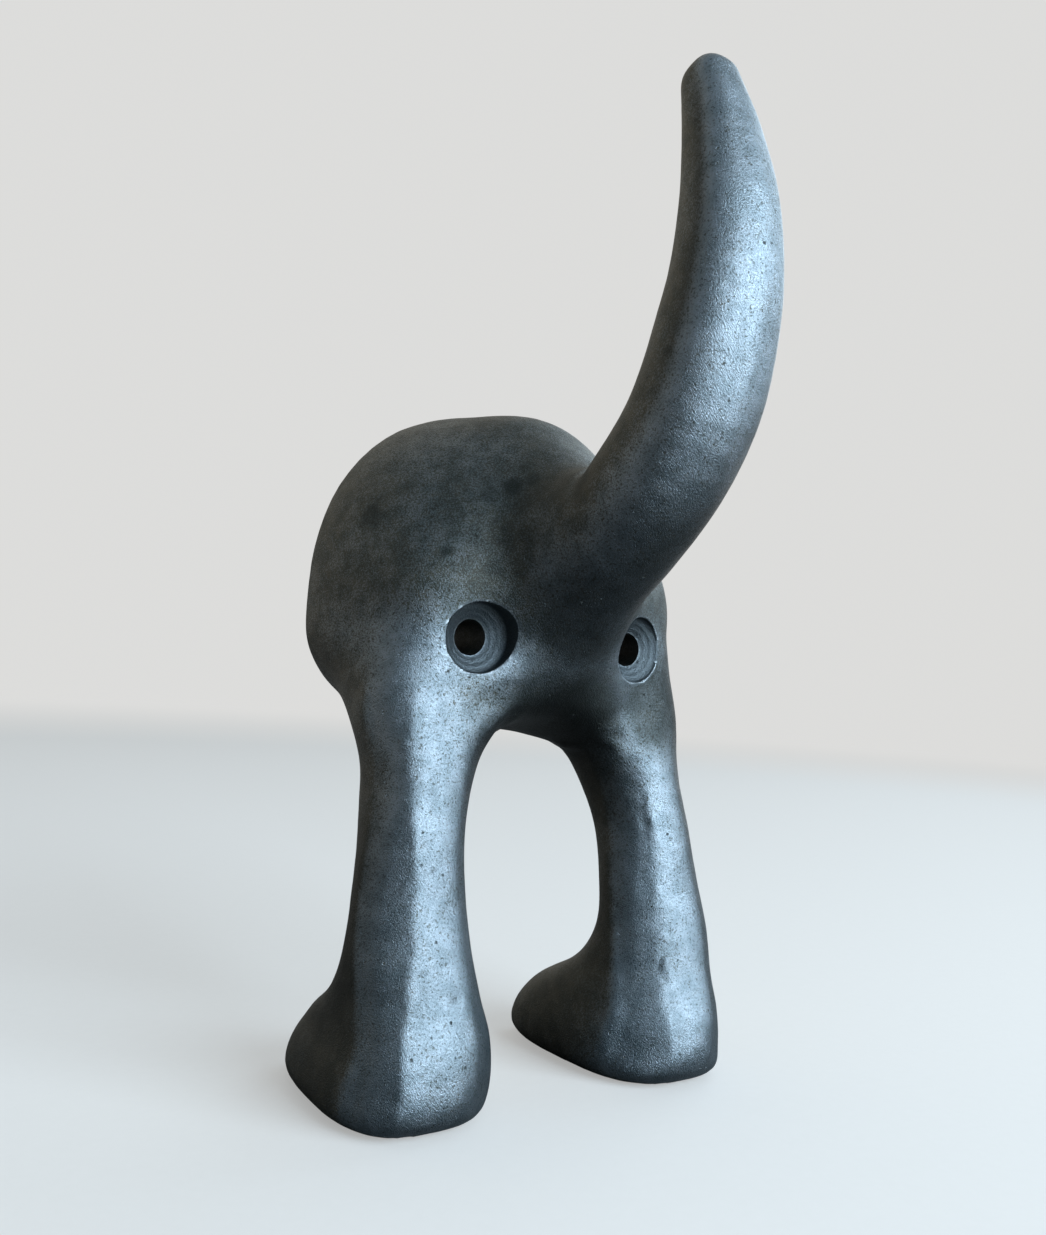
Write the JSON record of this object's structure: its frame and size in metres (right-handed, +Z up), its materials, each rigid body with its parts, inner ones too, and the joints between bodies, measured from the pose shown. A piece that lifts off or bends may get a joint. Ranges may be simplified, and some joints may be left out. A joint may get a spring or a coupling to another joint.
{
  "type": "wall coat hook",
  "caption": "Cast-iron wall hook shaped as a dog's hindquarters: the raised tail is the hook, the rump screws flat to the wall and the legs stand clear of it on paws.",
  "frame": {"origin": "midway between the two screw holes, on the flat back that lies against the wall", "axes": "+Z up the wall as the hook hangs, +Y into the wall, so the tail reaches out along -Y; +X to the right of someone facing the wall"},
  "size_m": [0.057, 0.0531, 0.1237],
  "materials": {
    "casting": "burnished, clear waxed"
  },
  "bodies": {
    "root": {"rump": "casting", "tail": "casting", "left_leg": "casting", "right_leg": "casting", "left_paw": "casting", "right_paw": "casting"}
  },
  "joints": []
}
